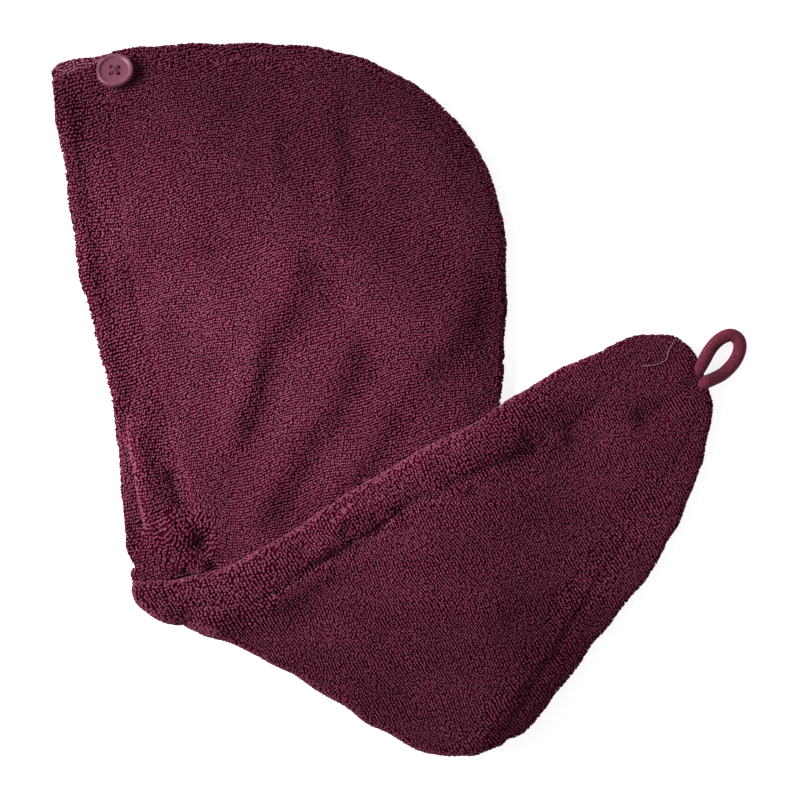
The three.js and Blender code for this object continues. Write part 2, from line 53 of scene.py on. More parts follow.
# A broad window light from the left, a spot that lifts the middle of the hood, and the pale studio round it
WHITE = (1.0, 1.0, 1.0, 1.0)
WINDOW_PLACE = (-1.66, 0.35, 1.06)
WINDOW_SIZE = 1.2
WINDOW_WATTS = 60.0
WINDOW_COLOUR = (1.0, 0.98, 0.965)
SPOT_PLACE = (-1.0, 0.24, 0.75)
SPOT_TARGET = (-0.071, 0.015, 0.0)
SPOT_WATTS = 106.0
SPOT_ANGLE = 15.6
SPOT_SOFTNESS = 0.06
AIR_STRENGTH = 0.31
FLOOR_SIZE = 8.0
FLOOR_SHADE = 0.70
FLOOR_GLOW = 0.8
FLOOR_ROUGHNESS = 0.9

# Elastic loop at the tail's tip, in millimetres. Its ends narrow over a share of its length and sink into
# the pile. Its knitted cover has ribs round it and courses along it.
LOOP_DIAMETER = 7.4
LOOP_END_SHARE = 0.1
LOOP_END_WIDTH = 0.7
LOOP_END_GROWTH = 0.3
ELASTIC_RIBS = 22.0
ELASTIC_COURSES = 88.0
COURSE_LEAN = 1.4
COURSE_DEPTH = 0.3
LOOP_ROUTE = [
    (172.6, 10.8, 6.2), (175.4, 15.0, 9.0), (178.6, 19.8, 7.6), (183.3, 27.3, 4.6), (188.6, 32.6, 3.9),
    (194.6, 34.9, 3.8), (199.0, 32.0, 3.8), (199.5, 26.4, 3.8), (196.4, 19.6, 3.9), (190.6, 13.6, 4.4),
    (184.0, 10.2, 6.9), (179.2, 8.5, 9.0), (174.2, 6.8, 6.2),
]

# Levels midway between two layers, in millimetres: in the hood, and in the tail on the hood and on the
# floor, with the X where it starts to come down and how far that goes
HOOD_MIDDLE = 6.2
TAIL_ON_HOOD = 21.6
TAIL_ON_FLOOR = 4.8
DESCENT_START = 44.0
DESCENT_WIDTH = 76.0

# Where the rolled edge of the tail crosses the hood, seen from above
ROLL_EDGE = [
    (-135.5, -102.0), (-92.8, -97.7), (-75.9, -89.5), (-55.1, -78.0), (-33.8, -62.7), (-13.0, -48.4),
    (4.5, -40.2), (16.6, -31.5), (39.5, -19.8), (60.3, -15.1), (67.4, -2.5), (100.0, 60.0), (210.0, 60.0),
]

# Grain of the terry: the direction of its rows in the hood and in the tail in degrees from +X, the pitch
# of rows and of the loops in a row, their scatter, and the waves of a row: height, length and shift
HOOD_GRAIN = 15.0
TAIL_GRAIN = -60.0
ROW_PITCH = 1.53
PILE_PITCH = 1.22
ROW_SCATTER = 0.2
PILE_SCATTER = 0.24
ROW_SWAY = [(1.3, 14.0, 23.0), (0.6, 4.7, -9.0)]
ROWS_REACH = 290.0
LOOPS_PER_PIECE = 15000

# One loop: its size in millimetres with the spread of each, how fast its height grows with its size, the
# spread of its lean and of its turn, and where its colours lie between root and top: painted shade at the
# root, a painted highlight on top
LOOP_LENGTH = 1.55
LENGTH_SPREAD = (0.8, 1.2)
LOOP_WIDTH = 1.3
WIDTH_SPREAD = (0.8, 1.15)
LOOP_HEIGHT = 0.95
HEIGHT_SPREAD = (0.7, 1.25)
HEIGHT_GROWTH = 0.6
LOOP_LEAN = 0.14
LOOP_TURN = 0.5
LOOP_SHADE_STOPS = (0.0, 0.3, 0.7, 1.0)

# Each loop's own cell of the bake map: its margin and what is left inside
CELL_MARGIN = 0.06
CELL_INSIDE = 0.88

# Slopes of the cloth, as the upward share of its normal: level above the first one, leaning above the
# second, an edge above the last, and bare below that. Square millimetres of cloth for each loop on a
# leaning face and on an edge.
LEVEL = 0.72
LEANING = 0.25
HANGING = -0.5
LEANING_AREA = 1.55
SIDE_AREA = 0.85

# Heights of the cloth seen from above: step and reach of the map, and reach of the pile
SKY_STEP = 0.8
SKY_REACH = (192.0, 204.0)
PILE_REACH = (190.0, 202.0)

# Where loops bridge the gap between the two panels: how near a seam, how deep below the closed surface,
# and on which slopes
BRIDGE_NEAR = 4.0
BRIDGE_DEPTH = 0.15
BRIDGE_SLOPE = 0.35

# Loops on leaning faces that don't show and are left out: how deep below the closed surface, near a seam
# and elsewhere
GAP_NEAR = 5.0
GAP_BURIED = 0.4
BURIED = 0.9
FACING_UP = 0.1

# Stitching of the turned hem, from the nape to the fold
HEM_STITCHES = [
    (-150.0, 145.8), (-144.5, 124.7), (-142.2, 93.0), (-138.3, 71.4), (-134.5, 50.2),
    (-120.6, -3.1), (-116.7, -24.2), (-107.8, -45.9), (-103.9, -67.0), (-101.7, -79.8),
]

# Seams that show on the tail: the one beside the roll, and the one along the outer edge
FRONT_SEAM = [
    (-92.5, -126.8), (-68.5, -120.2), (-54.9, -107.7), (-23.2, -87.0), (-20.0, -82.1), (-5.3, -76.1),
    (13.3, -65.7), (32.9, -57.0), (49.8, -47.7), (76.3, -35.4), (92.5, -25.1),
]
BACK_SEAM = [
    (45.4, -193.7), (56.3, -185.5), (65.7, -171.7), (76.8, -158.7), (87.5, -146.0), (98.2, -130.5),
    (103.3, -114.6), (113.5, -107.7), (122.4, -92.8), (133.0, -80.1), (140.8, -64.6), (150.7, -54.6),
]

# Where the two panels meet under the pile beside the tail's outer edge
BACK_JOIN = [
    (70.0, -184.3), (86.9, -160.8), (105.0, -134.0), (120.8, -106.7), (137.4, -81.7), (148.5, -56.8),
    (158.5, -37.4), (170.7, -15.3),
]

# Crease of the hem beside the fold
HEM_CREASE = [(-142.0, -8.0), (-140.5, -23.6), (-137.5, -45.0), (-134.0, -60.0), (-131.7, -70.3)]

# Lines where the pile is pressed down: depth, half width, line
PRESSED_LINES = [
    (0.6, 1.0, HEM_STITCHES),
    (0.7, 1.1, HEM_CREASE),
    (0.9, 1.0, [(-76.0, -115.0), (-54.9, -104.0), (-40.0, -95.0)]),
    (0.8, 0.9, [(-62.0, -104.0), (-50.0, -98.5), (-40.0, -92.5)]),
    (0.7, 1.0, BACK_SEAM[:4]),
    (0.45, 1.1, BACK_SEAM[3:8]),
    (0.3, 1.0, BACK_SEAM[7:]),
]

# Folds and dents of the hood's upper layer: height (less than 0: a dent), half widths to the right and to
# the left of the middle line, and that line
HOOD_FOLDS = [
    (10.0, 50.0, 33.0, [(-100.0, 128.0), (-50.0, 92.0), (5.0, 52.0)]),
    (6.4, 13.0, 11.0, [(-48.4, 67.5), (-56.6, 45.4), (-67.7, 28.9), (-75.3, 6.9), (-80.6, -12.4)]),
    (-0.8, 6.0, 6.0, [(-56.9, 28.9), (-64.0, -1.4), (-71.7, -23.4), (-79.9, -42.7)]),
    (6.4, 13.0, 11.0, [(-22.0, 20.9), (-32.3, -2.2), (-44.4, -20.7), (-57.0, -42.7), (-66.4, -59.3)]),
    (4.2, 11.0, 8.0, [(0.6, -15.2), (-10.8, -34.5), (-21.2, -49.0)]),
    (-1.4, 7.0, 7.0, [(18.0, 4.0), (6.0, -14.0), (-6.0, -36.0)]),
    (2.0, 7.0, 7.0, [(-29.7, 163.9), (-27.5, 136.4), (-25.3, 108.8)]),
    (1.8, 6.0, 6.0, [(-60.5, 147.4), (-58.9, 119.8)]),
    (-1.0, 6.0, 6.0, [(-18.7, 147.4), (-17.6, 114.3)]),
    (2.8, 8.0, 8.0, [(-133.3, 87.9), (-116.7, 86.8), (-100.2, 83.5)]),
    (-1.8, 8.0, 8.0, [(-133.3, 62.0), (-111.2, 60.3)]),
    (-3.0, 9.0, 9.0, [(-155.3, 154.0), (-138.8, 151.8), (-122.2, 157.3)]),
    (-2.4, 4.0, 4.0, [(-137.0, 182.6), (-118.2, 183.4), (-103.8, 185.0), (-88.9, 187.6), (-70.0, 189.4)]),
    (-1.8, 3.0, 3.0, [(-133.0, 177.0), (-108.0, 175.0)]),
    (-2.0, 3.5, 3.5, [(-180.0, 165.0), (-166.0, 165.0), (-152.0, 166.5)]),
    (1.6, 6.0, 6.0, [(-176.0, 156.0), (-160.0, 157.0)]),
    (3.2, 14.0, 10.0, [(44.0, 48.0), (24.0, 18.0), (14.0, 2.0)]),
    (-5.4, 6.0, 6.0, [(-110.1, -58.2), (-114.0, -46.0)]),
    (5.2, 7.0, 7.0, [(-114.0, -72.0), (-107.0, -74.0)]),
    (-1.6, 4.5, 4.5, [(-98.0, -86.0), (-98.0, -79.0)]),
    (4.0, 3.5, 3.5, [(-117.8, -96.2), (-107.4, -91.2), (-97.4, -95.6)]),
    (-3.0, 4.0, 4.0, [(-93.6, -94.0), (-88.0, -89.0)]),
    (3.0, 4.5, 6.0, [(-136.0, -21.0), (-131.5, -45.0), (-128.5, -62.0), (-127.0, -72.0)]),
    (-1.8, 6.0, 8.0, [(-121.0, -18.0), (-117.0, -36.0)]),
    (-0.7, 4.0, 4.0, HEM_STITCHES),
    (-2.2, 2.8, 2.8, HEM_CREASE),
    (3.2, 15.0, 6.0, [(-176.0, 160.0), (-172.0, 141.0), (-167.5, 104.0), (-162.0, 69.0), (-154.5, 33.0),
                      (-146.0, 5.0)]),
]

# Folds and dents of the tail's upper layer
TAIL_FOLDS = [
    (3.2, 5.5, 5.5, [(-92.5, -120.0), (-77.2, -115.0), (-61.9, -112.5), (-46.0, -104.8), (-30.0, -95.5)]),
    (-2.6, 8.0, 8.0, [(-80.0, -134.5), (-58.0, -134.0), (-36.0, -120.0)]),
    (0.8, 3.5, 3.5, BACK_SEAM),
    (1.5, 8.5, 18.0, [(57.0, -183.0), (77.0, -156.5), (98.5, -128.0), (114.0, -103.0)]),
    (0.6, 4.0, 4.0, BACK_JOIN),
    (-3.2, 2.6, 2.6, [(-23.8, -61.9), (-21.0, -61.0)]),
    (3.0, 3.2, 3.2, [(-25.4, -72.3), (-17.3, -62.4), (-2.0, -60.3), (8.9, -67.9)]),
    (2.4, 2.8, 2.8, [(-40.0, -88.0), (-30.0, -82.0), (-22.0, -80.0)]),
    (-2.8, 4.0, 4.0, [(-44.5, -80.4), (-33.6, -88.6), (-25.4, -89.7)]),
    (-1.9, 3.2, 3.2, [(1.8, -67.9), (-6.4, -77.7), (-10.7, -82.0)]),
    (3.0, 3.6, 3.6, [(22.0, -40.0), (34.0, -48.0), (44.0, -50.0)]),
    (-1.7, 3.2, 3.2, [(12.0, -46.0), (24.0, -54.0), (34.0, -58.0)]),
    (-0.9, 2.6, 2.6, [(52.5, -16.7), (59.1, -12.9), (72.8, -12.9), (86.9, -17.9), (93.0, -23.4),
                      (88.7, -27.8), (81.3, -31.7)]),
    (1.2, 5.0, 5.0, [(48.1, -23.2), (64.5, -19.8), (72.0, -21.0)]),
    (2.8, 5.0, 5.0, [(89.0, -25.5), (98.0, -22.0)]),
    (-5.0, 7.5, 7.5, [(157.0, -7.0), (148.0, -11.0)]),
    (2.4, 6.0, 6.0, [(168.0, 14.1), (163.0, 10.0)]),
    (-1.6, 6.0, 6.0, [(104.3, -7.0), (112.0, -9.0)]),
    (1.4, 7.0, 7.0, [(20.0, -110.0), (60.0, -120.0)]),
    (-1.2, 8.0, 8.0, [(30.0, -90.0), (80.0, -80.0)]),
]

# Sideways ripples of the whole cloth: height, waves along X and along Y, and start
RIPPLES_X = [(0.5, 0.08, 0.17, 0.0), (0.2, -0.13, 0.41, 1.0)]
RIPPLES_Y = [(0.5, 0.19, -0.06, 2.0), (0.2, 0.37, 0.17, 0.0)]

# How folds fade in, in millimetres: away from the roll's edge, above the hood's middle up to a ceiling, and
# above the tail's middle, a little past the roll's edge too
ROLL_FADE = (2.0, 5.0)
HOOD_FADE = 4.0
HOOD_CEILING = 17.5
TAIL_FADE = (0.4, 2.0)
TAIL_UNDER_ROLL = 3.0

# Crumple beside the fold, and how far its rows turn, in degrees
CRUMPLE = (-108.0, -78.0)
CRUMPLE_RADIUS = 13.0
CRUMPLE_TURN = 75.0

# How far the pile opens on the flat, on soft bends and on hard ones, how the size of the loops follows
# it, and the borders of those zones
PILE_LEVELS = (1.0, 1.14, 1.3)
PILE_GROWTH = 1.2
LARGEST_ON_SIDES = 1.25
HEM_OUTER_PART = 15.0
NAPE_START = 140.0
TOP_EDGE = 181.0
ROLL_END = 92.0
FOLD_END = -58.0
FOLD_MARGIN = 4.0
BACK_SEAM_BAND = 10.0
CRUMPLE_BAND = 1.35

# Button at the nape corner, in millimetres and degrees
BUTTON_MIDDLE = (-146.6, 179.5, 18.4)
BUTTON_LEAN = -20.0
BUTTON_RADIUS = 10.0
BUTTON_THICKNESS = 3.2
BUTTON_RIM = 1.7
BUTTON_DISH = 0.9
BUTTON_SLOPE = 0.5
BUTTON_ROUNDING = 0.55
BUTTON_OVERHANG = 0.6
ROUNDED_FROM = 30.0
SMOOTH_UP_TO = 38.0
HOLE_RADIUS = 1.2
HOLE_SPACING = 3.9

# Button thread: its strands, and how they sink into the holes and cross above the dish
THREAD_RADIUS = 0.26
STRAND_SPACING = 0.27
STRAND_FOOT = -3.2
STRAND_BEND = 0.5
STRAND_SHOULDER = 0.8
STRAND_LIFT = 0.15
STRAND_TOP = 0.28
STRAND_CROSSING = 0.3
SHANK_RADIUS = 2.3
SHANK_DEPTHS = (2.6, 3.6)

# Worn strip along the nape corner: its lower border and its end, and its low, wide loops
NAPE_STRIP = [(-190.0, 170.0), (-181.3, 174.5), (-169.7, 179.4), (-157.0, 185.0), (-150.0, 189.0)]
NAPE_STRIP_END = -150.0
WORN_HEIGHT = 0.38
WORN_SIZE = 1.25

# Hem stitches: where the row starts and ends, pitch, radius, and one stitch as places and lifts
STITCH_START = 2.0
STITCH_MARGIN = 6.0
STITCH_PITCH = 2.9
STITCH_RADIUS = 0.28
STITCH_PATH = [(0.0, -0.4), (0.5, -0.1), (1.2, 0.0), (1.9, -0.1), (2.4, -0.4)]

# Loose thread lying on the pile near the tip
LOOSE_THREAD = [
    (163.5, 33.0), (160.4, 28.4), (158.6, 25.2), (157.4, 21.0), (153.0, 18.6), (148.4, 17.5), (143.6, 17.2),
]
LOOSE_THREAD_LIFT = 1.6

# In metres: above everything, above the pile, and just above the floor
SKY_HEIGHT = 0.1
PILE_CLEARANCE = 0.0012
FLOOR_GAP = 0.0001

UP = Vector((0.0, 0.0, 1.0))

# Colours as linear RGB: the loops from root to top, on the flat, on the rims and on the worn strip, dark
# at the root as painted shade and light on top as a painted highlight, and a dark and a light tone for
# everything else
FLAT_SHADED_COLOURS = [(0.046, 0.0001, 0.005), (0.09, 0.0036, 0.02), (0.138, 0.0215, 0.052), (0.188, 0.064, 0.104)]
# The rim copy has lighter roots and less contrast: a painted light rim along the edges
RIM_LIT_COLOURS = [(0.06, 0.004, 0.015), (0.09, 0.01, 0.028), (0.13, 0.024, 0.05), (0.175, 0.05, 0.085)]
WORN_SHADED_COLOURS = [(0.12, 0.018, 0.044), (0.165, 0.038, 0.072), (0.225, 0.068, 0.112), (0.285, 0.1, 0.155)]
# Ground and hem cloth: dark at the edges of their cells and lighter on the cells' tops as painted shade
# between the close loops, the ground kept darker than the loops as painted shade in the gaps
GROUND_SHADE_TONES = [(0.036, 0.0006, 0.0062), (0.058, 0.0042, 0.016)]
HEM_SHADE_TONES = [(0.024, 0.0012, 0.006), (0.11, 0.015, 0.038)]
BUTTON_TONES = [(0.158, 0.0412, 0.076), (0.193, 0.055, 0.099)]
# The elastic's dark tone lies in the grooves of the knit as painted shade, the light one on the stitches'
# tops
ELASTIC_KNIT_SHADES = [(0.076, 0.0083, 0.0215), (0.188, 0.0353, 0.063)]
PLUM_THREAD = [(0.055, 0.005, 0.02), (0.12, 0.02, 0.055)]
PALE_THREAD = [(0.16, 0.06, 0.095), (0.3, 0.15, 0.21)]
MAUVE_THREAD = [(0.11, 0.03, 0.054), (0.2, 0.062, 0.105)]

# Sheen of the fibres: how much, and its tint
FLAT_SHEEN = 0.02
RIM_SHEEN = 0.06
ELASTIC_SHEEN = 0.2
SHEEN_ROUGHNESS = 0.4
LOOP_TINT = (0.9, 0.45, 0.55)
ELASTIC_TINT = (0.95, 0.42, 0.5)

# Noise: how fine it is for each metre, its detail, and the factors between which it varies
NOISE_MIDDLE = (0.3, 0.7)
SINGLE_LOOPS = (620.0, 1.0, 0.78, 1.24)
LOOP_PATCHES = (34.0, 3.0, 0.88, 1.12)
GROUND_PATCHES = (60.0, 4.0, 0.85, 1.15)
BUTTON_CLOUDS = (260.0, 3.0)
BUTTON_SCUFFS = (1500.0, 2.0, 0.3, 0.45)
ELASTIC_FUZZ = (900.0, 3.0)
ELASTIC_PATCHES = (0.62, 1.5)
GROUND_CELLS = 620.0
CELL_EDGES = (0.15, 0.75)
THREAD_TWIST = 900.0

# Reliefs: strength and height in metres
GROUND_RELIEF = (0.8, 0.0008)
HEM_RELIEF = (0.7, 0.0008)
KNIT_RELIEF = (0.7, 0.0003)
FUZZ_RELIEF = (0.8, 0.0006)


def eased(x):
    """Smooth step from 0 to 1."""
    x = np.clip(x, 0.0, 1.0)
    return x * x * (3.0 - 2.0 * x)


def pick(piece):
    bpy.ops.object.select_all(action="DESELECT")
    piece.select_set(True)
    bpy.context.view_layer.objects.active = piece


def new_object(name, data):
    thing = bpy.data.objects.new(name, data)
    bpy.context.scene.collection.objects.link(thing)
    return thing


def joined(pieces):
    """Joins several pieces into the first one."""
    pick(pieces[0])
    for piece in pieces[1:]:
        piece.select_set(True)
    if len(pieces) > 1:
        bpy.ops.object.join()
    return pieces[0]


def from_line(points, line):
    """Distance from a line of straight runs, seen from above, and the side: -1 right of it, 1 left of it."""
    best = np.full(len(points), np.inf)
    side = np.zeros(len(points))
    for a, b in zip(line[:-1], line[1:]):
        a = np.array(a)
        run = np.array(b) - a
        share = np.clip(((points - a) @ run) / run.dot(run), 0.0, 1.0)
        away = points - a - share[:, None] * run
        distance = np.linalg.norm(away, axis=1)
        across = (run[0] * away[:, 1] - run[1] * away[:, 0]) / math.hypot(*run)
        nearer = distance < best
        best[nearer] = distance[nearer]
        side[nearer] = (across / np.maximum(distance, 0.001))[nearer]
    return best, side


def fold_height(folds, points):
    """Sum of all folds at each place: each one a soft ridge along its line."""
    total = np.zeros(len(points))
    for height, right, left, line in folds:
        distance, side = from_line(points, line)
        half_width = (right + left) / 2 + (left - right) / 2 * side
        total += height * np.exp(-(distance / half_width) ** 2)
    return total


def ripple(waves, x, y):
    """Small sideways waves of the whole cloth, so that its outline isn't even."""
    total = np.zeros(len(x))
    for height, along_x, along_y, start in waves:
        total += height * np.sin(along_x * x + along_y * y + start)
    return total


def roll_edge(x):
    """Y of the roll's edge on the hood, for each X."""
    return np.interp(x, *zip(*ROLL_EDGE))


# ---- materials


def new_material(name):
    material = bpy.data.materials.new(name)
    material.use_nodes = True
    tree = material.node_tree
    return material, tree, tree.nodes["Principled BSDF"]


def add_node(tree, kind, **inputs):
    node = tree.nodes.new(kind)
    for name, value in inputs.items():
        node.inputs[name.replace("_", " ")].default_value = value
    return node


def add_math(tree, operation, *values):
    """A sum or product of sockets and plain numbers."""
    node = tree.nodes.new("ShaderNodeMath")
    node.operation = operation
    for socket, value in zip(node.inputs, values):
        if isinstance(value, bpy.types.NodeSocket):
            tree.links.new(value, socket)
        else:
            socket.default_value = value
    return node.outputs["Value"]


def object_place(tree):
    return tree.nodes.new("ShaderNodeTexCoord").outputs["Object"]


def mapped_uv(tree, name):
    """The two directions of one of the piece's own maps."""
    uv = tree.nodes.new("ShaderNodeUVMap")
    uv.uv_map = name
    split = tree.nodes.new("ShaderNodeSeparateXYZ")
    tree.links.new(uv.outputs["UV"], split.inputs["Vector"])
    return split.outputs["X"], split.outputs["Y"]


def stretched(tree, value, lowest, highest, new_lowest, new_highest):
    """A value spread from its own range over another one."""
    node = add_node(tree, "ShaderNodeMapRange", From_Min=lowest, From_Max=highest, To_Min=new_lowest,
                    To_Max=new_highest)
    tree.links.new(value, node.inputs["Value"])
    return node.outputs["Result"]


def add_noise(tree, place, scale, detail):
    node = add_node(tree, "ShaderNodeTexNoise", Scale=scale, Detail=detail)
    tree.links.new(place, node.inputs["Vector"])
    return node.outputs["Fac"]


def cloudy(tree, place, scale, detail, darkest, lightest):
    """Noise as a factor between two values."""
    return stretched(tree, add_noise(tree, place, scale, detail), *NOISE_MIDDLE, darkest, lightest)


def colour_ramp(tree, factor, stops, colours):
    node = tree.nodes.new("ShaderNodeValToRGB")
    ramp = node.color_ramp
    while len(ramp.elements) < len(stops):
        ramp.elements.new(0.5)
    for element, stop, colour in zip(ramp.elements, stops, colours):
        element.position = stop
        element.color = (*colour, 1.0)
    tree.links.new(factor, node.inputs["Fac"])
    return node.outputs["Color"]


def scaled_colour(tree, colour, factor):
    node = tree.nodes.new("ShaderNodeVectorMath")
    node.operation = "SCALE"
    tree.links.new(colour, node.inputs[0])
    tree.links.new(factor, node.inputs["Scale"])
    return node.outputs["Vector"]


def add_relief(tree, height, strength, distance, under=None):
    """A fine relief, laid over another one where that is given."""
    node = add_node(tree, "ShaderNodeBump", Strength=strength, Distance=distance)
    tree.links.new(height, node.inputs["Height"])
    if under is not None:
        tree.links.new(under, node.inputs["Normal"])
    return node.outputs["Normal"]


def set_surface(shader, specular, roughness, sheen=0.0, tint=LOOP_TINT):
    """A dull surface, with the soft shine of fibres where a sheen is given."""
    shader.inputs["Specular IOR Level"].default_value = specular
    shader.inputs["Roughness"].default_value = roughness
    if sheen > 0.0:
        shader.inputs["Sheen Weight"].default_value = sheen
        shader.inputs["Sheen Roughness"].default_value = SHEEN_ROUGHNESS
        shader.inputs["Sheen Tint"].default_value = (*tint, 1.0)


def terry_loop_material(name, colours, sheen):
    """Uncut cotton loops, each a little different, with painted shade at the root and a painted highlight on
    top.
    """
    material, tree, shader = new_material(name)
    place = object_place(tree)
    _, height = mapped_uv(tree, "LoopShape")
    # Colour by height in the loop: painted shade at the root, a painted highlight on top
    shaded_crown = colour_ramp(tree, height, LOOP_SHADE_STOPS, colours)
    single = cloudy(tree, place, *SINGLE_LOOPS)
    patch = cloudy(tree, place, *LOOP_PATCHES)
    coloured = scaled_colour(tree, shaded_crown, add_math(tree, "MULTIPLY", single, patch))
    tree.links.new(coloured, shader.inputs["Base Color"])
    set_surface(shader, 0.0, 0.95, sheen)
    return material


def ground_material(name, tones, relief):
    """Terry seen as a whole: the ground cloth with its close loops as a fine relief, and painted shade
    darkening the edges of its cells.
    """
    material, tree, shader = new_material(name)
    place = object_place(tree)
    cells = add_node(tree, "ShaderNodeTexVoronoi", Scale=GROUND_CELLS, Randomness=0.8)
    cells.feature = "SMOOTH_F1"
    tree.links.new(place, cells.inputs["Vector"])
    # Cell tops lighter and cell edges darker: painted shade between the close loops
    tops = stretched(tree, cells.outputs["Distance"], *CELL_EDGES, 1.0, 0.0)
    colour = colour_ramp(tree, tops, (0.0, 1.0), tones)
    shade = cloudy(tree, place, *GROUND_PATCHES)
    tree.links.new(scaled_colour(tree, colour, shade), shader.inputs["Base Color"])
    tree.links.new(add_relief(tree, tops, *relief), shader.inputs["Normal"])
    set_surface(shader, 0.0, 0.95)
    return material


def button_material():
    """Plum plastic, a little clouded, with worn patches in its shine."""
    material, tree, shader = new_material("button_plastic")
    place = object_place(tree)
    cloud = add_noise(tree, place, *BUTTON_CLOUDS)
    colour = colour_ramp(tree, cloud, NOISE_MIDDLE, BUTTON_TONES)
    tree.links.new(colour, shader.inputs["Base Color"])
    shader.inputs["Specular IOR Level"].default_value = 0.4
    scuffs = cloudy(tree, place, *BUTTON_SCUFFS)
    tree.links.new(scuffs, shader.inputs["Roughness"])
    return material


def thread_material(name, tones):
    """Twisted thread: slanting bands of two tones."""
    material, tree, shader = new_material(name)
    twist = add_node(tree, "ShaderNodeTexWave", Scale=THREAD_TWIST, Distortion=1.0)
    twist.bands_direction = "DIAGONAL"
    tree.links.new(object_place(tree), twist.inputs["Vector"])
    colour = colour_ramp(tree, twist.outputs["Fac"], (0.0, 1.0), tones)
    tree.links.new(colour, shader.inputs["Base Color"])
    set_surface(shader, 0.1, 0.8)
    return material


def elastic_material():
    """Round elastic with a fine knitted cover: rows of small stitches round the cord, with painted shade in
    the grooves between them.
    """
    material, tree, shader = new_material("knitted_elastic")
    along, around = mapped_uv(tree, "Cover")
    turn = 2.0 * math.pi
    ribs = add_math(tree, "SINE", add_math(tree, "MULTIPLY", around, ELASTIC_RIBS * turn))
    lean = add_math(tree, "MULTIPLY", ribs, COURSE_LEAN)
    courses = add_math(tree, "SINE", add_math(tree, "MULTIPLY_ADD", along, ELASTIC_COURSES * turn, lean))
    knit = add_math(tree, "MULTIPLY_ADD", courses, COURSE_DEPTH, 0.5)
    # Colour follows the knit's relief: painted shade in its grooves
    colour = colour_ramp(tree, knit, (0.1, 0.9), ELASTIC_KNIT_SHADES)
    fuzz = add_noise(tree, object_place(tree), *ELASTIC_FUZZ)
    shade = stretched(tree, fuzz, *NOISE_MIDDLE, *ELASTIC_PATCHES)
    tree.links.new(scaled_colour(tree, colour, shade), shader.inputs["Base Color"])
    relief = add_relief(tree, knit, *KNIT_RELIEF)
    tree.links.new(add_relief(tree, fuzz, *FUZZ_RELIEF, relief), shader.inputs["Normal"])
    set_surface(shader, 0.05, 0.85, ELASTIC_SHEEN, ELASTIC_TINT)
    return material


# ---- camera, lights and floor


def make_camera():
    data = bpy.data.cameras.new("camera_above")
    camera = new_object("camera_above", data)
    camera.location = (CAMERA_X, CAMERA_Y, CAMERA_HEIGHT)
    data.sensor_width = SENSOR_WIDTH
    data.lens = SENSOR_WIDTH * (CAMERA_HEIGHT - VIEW_LEVEL) / VIEW_WIDTH
    bpy.context.scene.camera = camera


def make_light(name, kind, place, target, watts):
    """A lamp of the given kind, aimed at a target."""
    data = bpy.data.lights.new(name, kind)
    data.energy = watts
    light = new_object(name, data)
    light.location = place
    light.rotation_euler = (Vector(target) - Vector(place)).to_track_quat("-Z", "Y").to_euler()
    return data


def make_studio():
    bpy.ops.mesh.primitive_plane_add(size=FLOOR_SIZE, location=(0.0, 0.0, 0.0))
    floor = bpy.context.object
    floor.name = "studio_floor"
    material, _, shader = new_material("pale_floor")
    shader.inputs["Base Color"].default_value = (FLOOR_SHADE, FLOOR_SHADE, FLOOR_SHADE, 1.0)
    shader.inputs["Emission Color"].default_value = WHITE
    shader.inputs["Emission Strength"].default_value = FLOOR_GLOW
    shader.inputs["Roughness"].default_value = FLOOR_ROUGHNESS
    floor.data.materials.append(material)
    window = make_light("window_light", "AREA", WINDOW_PLACE, (0.0, 0.0, 0.0), WINDOW_WATTS)
    window.shape = "DISK"
    window.size = WINDOW_SIZE
    window.color = WINDOW_COLOUR
    spot = make_light("soft_spot", "SPOT", SPOT_PLACE, SPOT_TARGET, SPOT_WATTS)
    spot.spot_size = math.radians(SPOT_ANGLE)
    spot.spot_blend = 1.0
    spot.shadow_soft_size = SPOT_SOFTNESS
    world = bpy.data.worlds.new("studio_air")
    world.use_nodes = True
    background = world.node_tree.nodes["Background"]
    background.inputs["Color"].default_value = WHITE
    background.inputs["Strength"].default_value = AIR_STRENGTH
    bpy.context.scene.world = world
    bpy.context.scene.view_settings.view_transform = "Standard"


# ---- elastic loop


def smooth_path(points, steps):
    """Points along a smooth curve through the given ones."""
    knots = np.array(points, float)
    padded = np.vstack([2 * knots[0] - knots[1], knots, 2 * knots[-1] - knots[-2]])
    out = []
    for i in range(1, len(padded) - 2):
        a, b, c, d = padded[i - 1:i + 3]
        for step in range(steps):
            t = step / steps
            out.append(0.5 * (2 * b + (c - a) * t + (2 * a - 5 * b + 4 * c - d) * t * t
                              + (3 * b - a - 3 * c + d) * t ** 3))
    out.append(knots[-1])
    return np.array(out)


